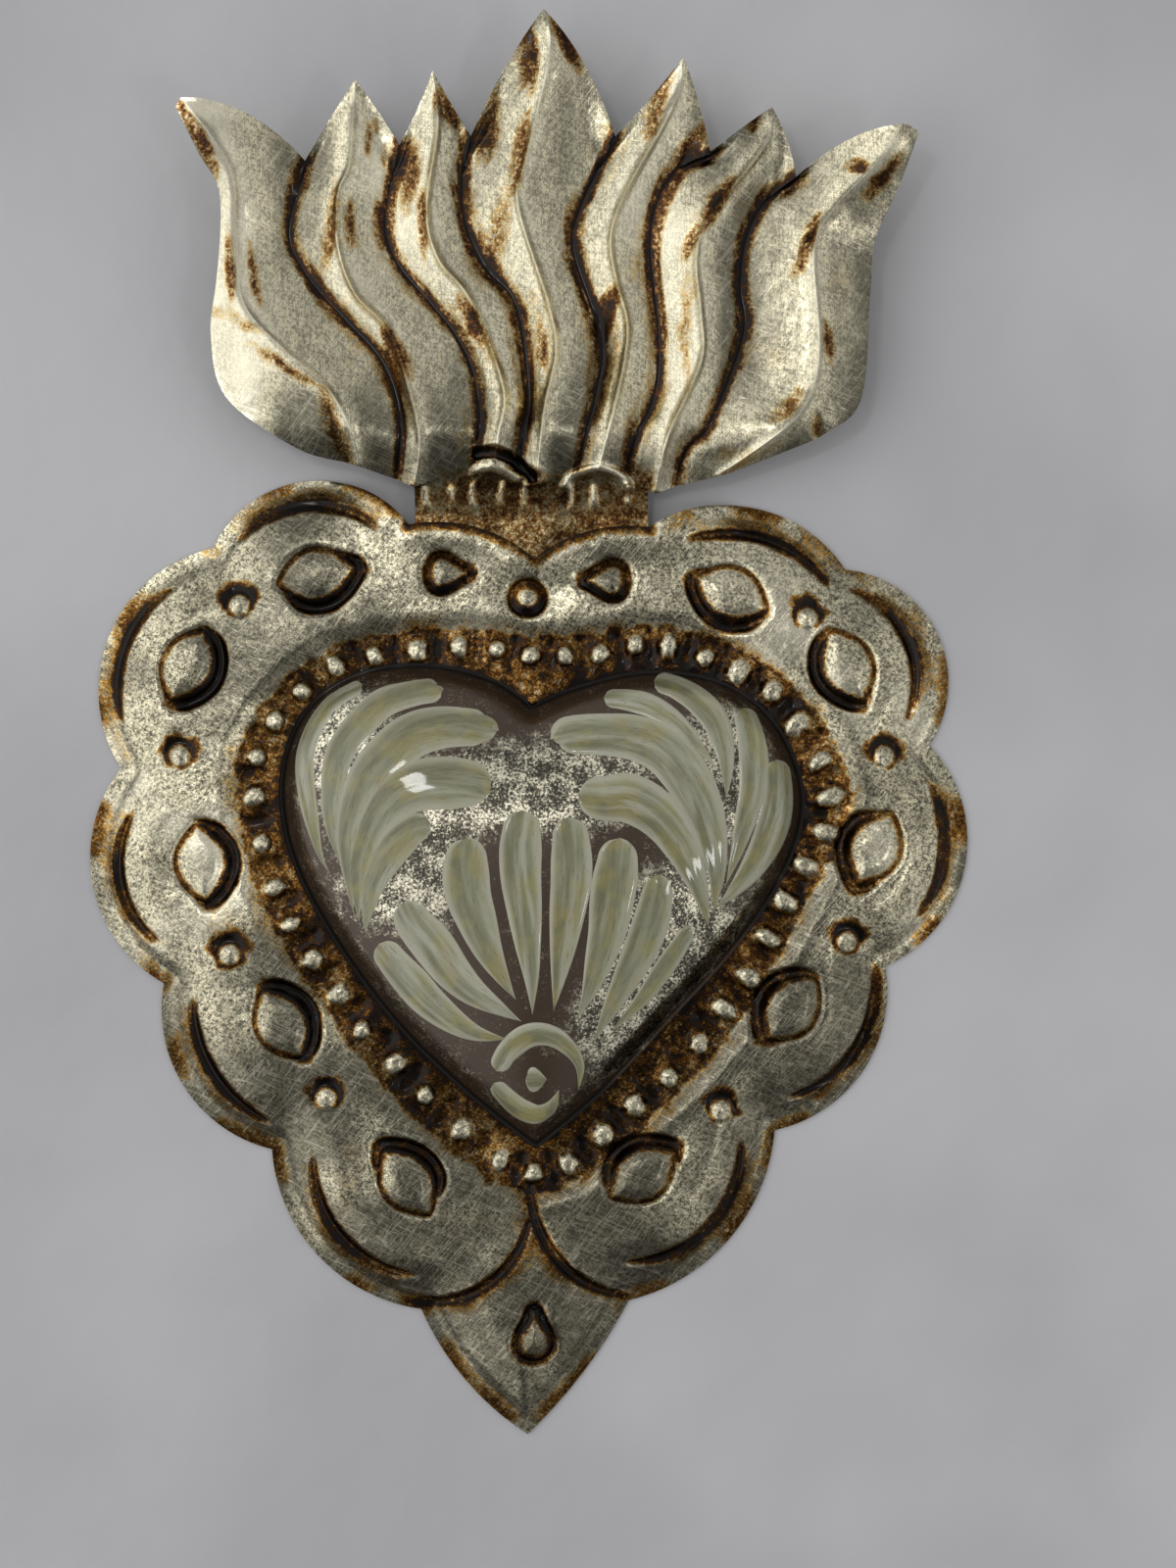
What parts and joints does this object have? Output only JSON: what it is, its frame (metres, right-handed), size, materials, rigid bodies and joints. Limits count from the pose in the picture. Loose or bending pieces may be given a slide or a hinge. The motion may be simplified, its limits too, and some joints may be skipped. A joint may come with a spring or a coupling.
{
  "type": "sacred heart wall ornament",
  "caption": "Pressed sheet-tin sacred heart for a wall: scalloped heart plate with beading, painted domed heart in its opening and a crown of chased flames.",
  "frame": {"origin": "middle of the ornament's plan, on the plane of the plate's flat rim, which lies against the wall", "axes": "+X to the viewer's right, +Y up towards the flame tips, +Z out of the face"},
  "size_m": [0.1016, 0.1628, 0.0125],
  "materials": {
    "tin": "warm tin with a scratched grain, dark brown patina in the chasing and amber lacquer in the bead band",
    "painted_tin": "brown translucent lacquer over bright metal, with cream comma brush strokes under a gloss varnish",
    "solder": "dull grey solder"
  },
  "bodies": {
    "root": {"heart_plate": "tin", "flame_crown": "tin", "heart_dome": "painted_tin", "hanger_strap": "tin", "hanger_solder_left": "solder", "hanger_solder_right": "solder", "crown_solder_left": "solder", "crown_solder_right": "solder", "dome_solder_1": "solder", "dome_solder_2": "solder", "dome_solder_3": "solder", "dome_solder_4": "solder", "dome_solder_5": "solder", "dome_solder_6": "solder"}
  },
  "joints": []
}
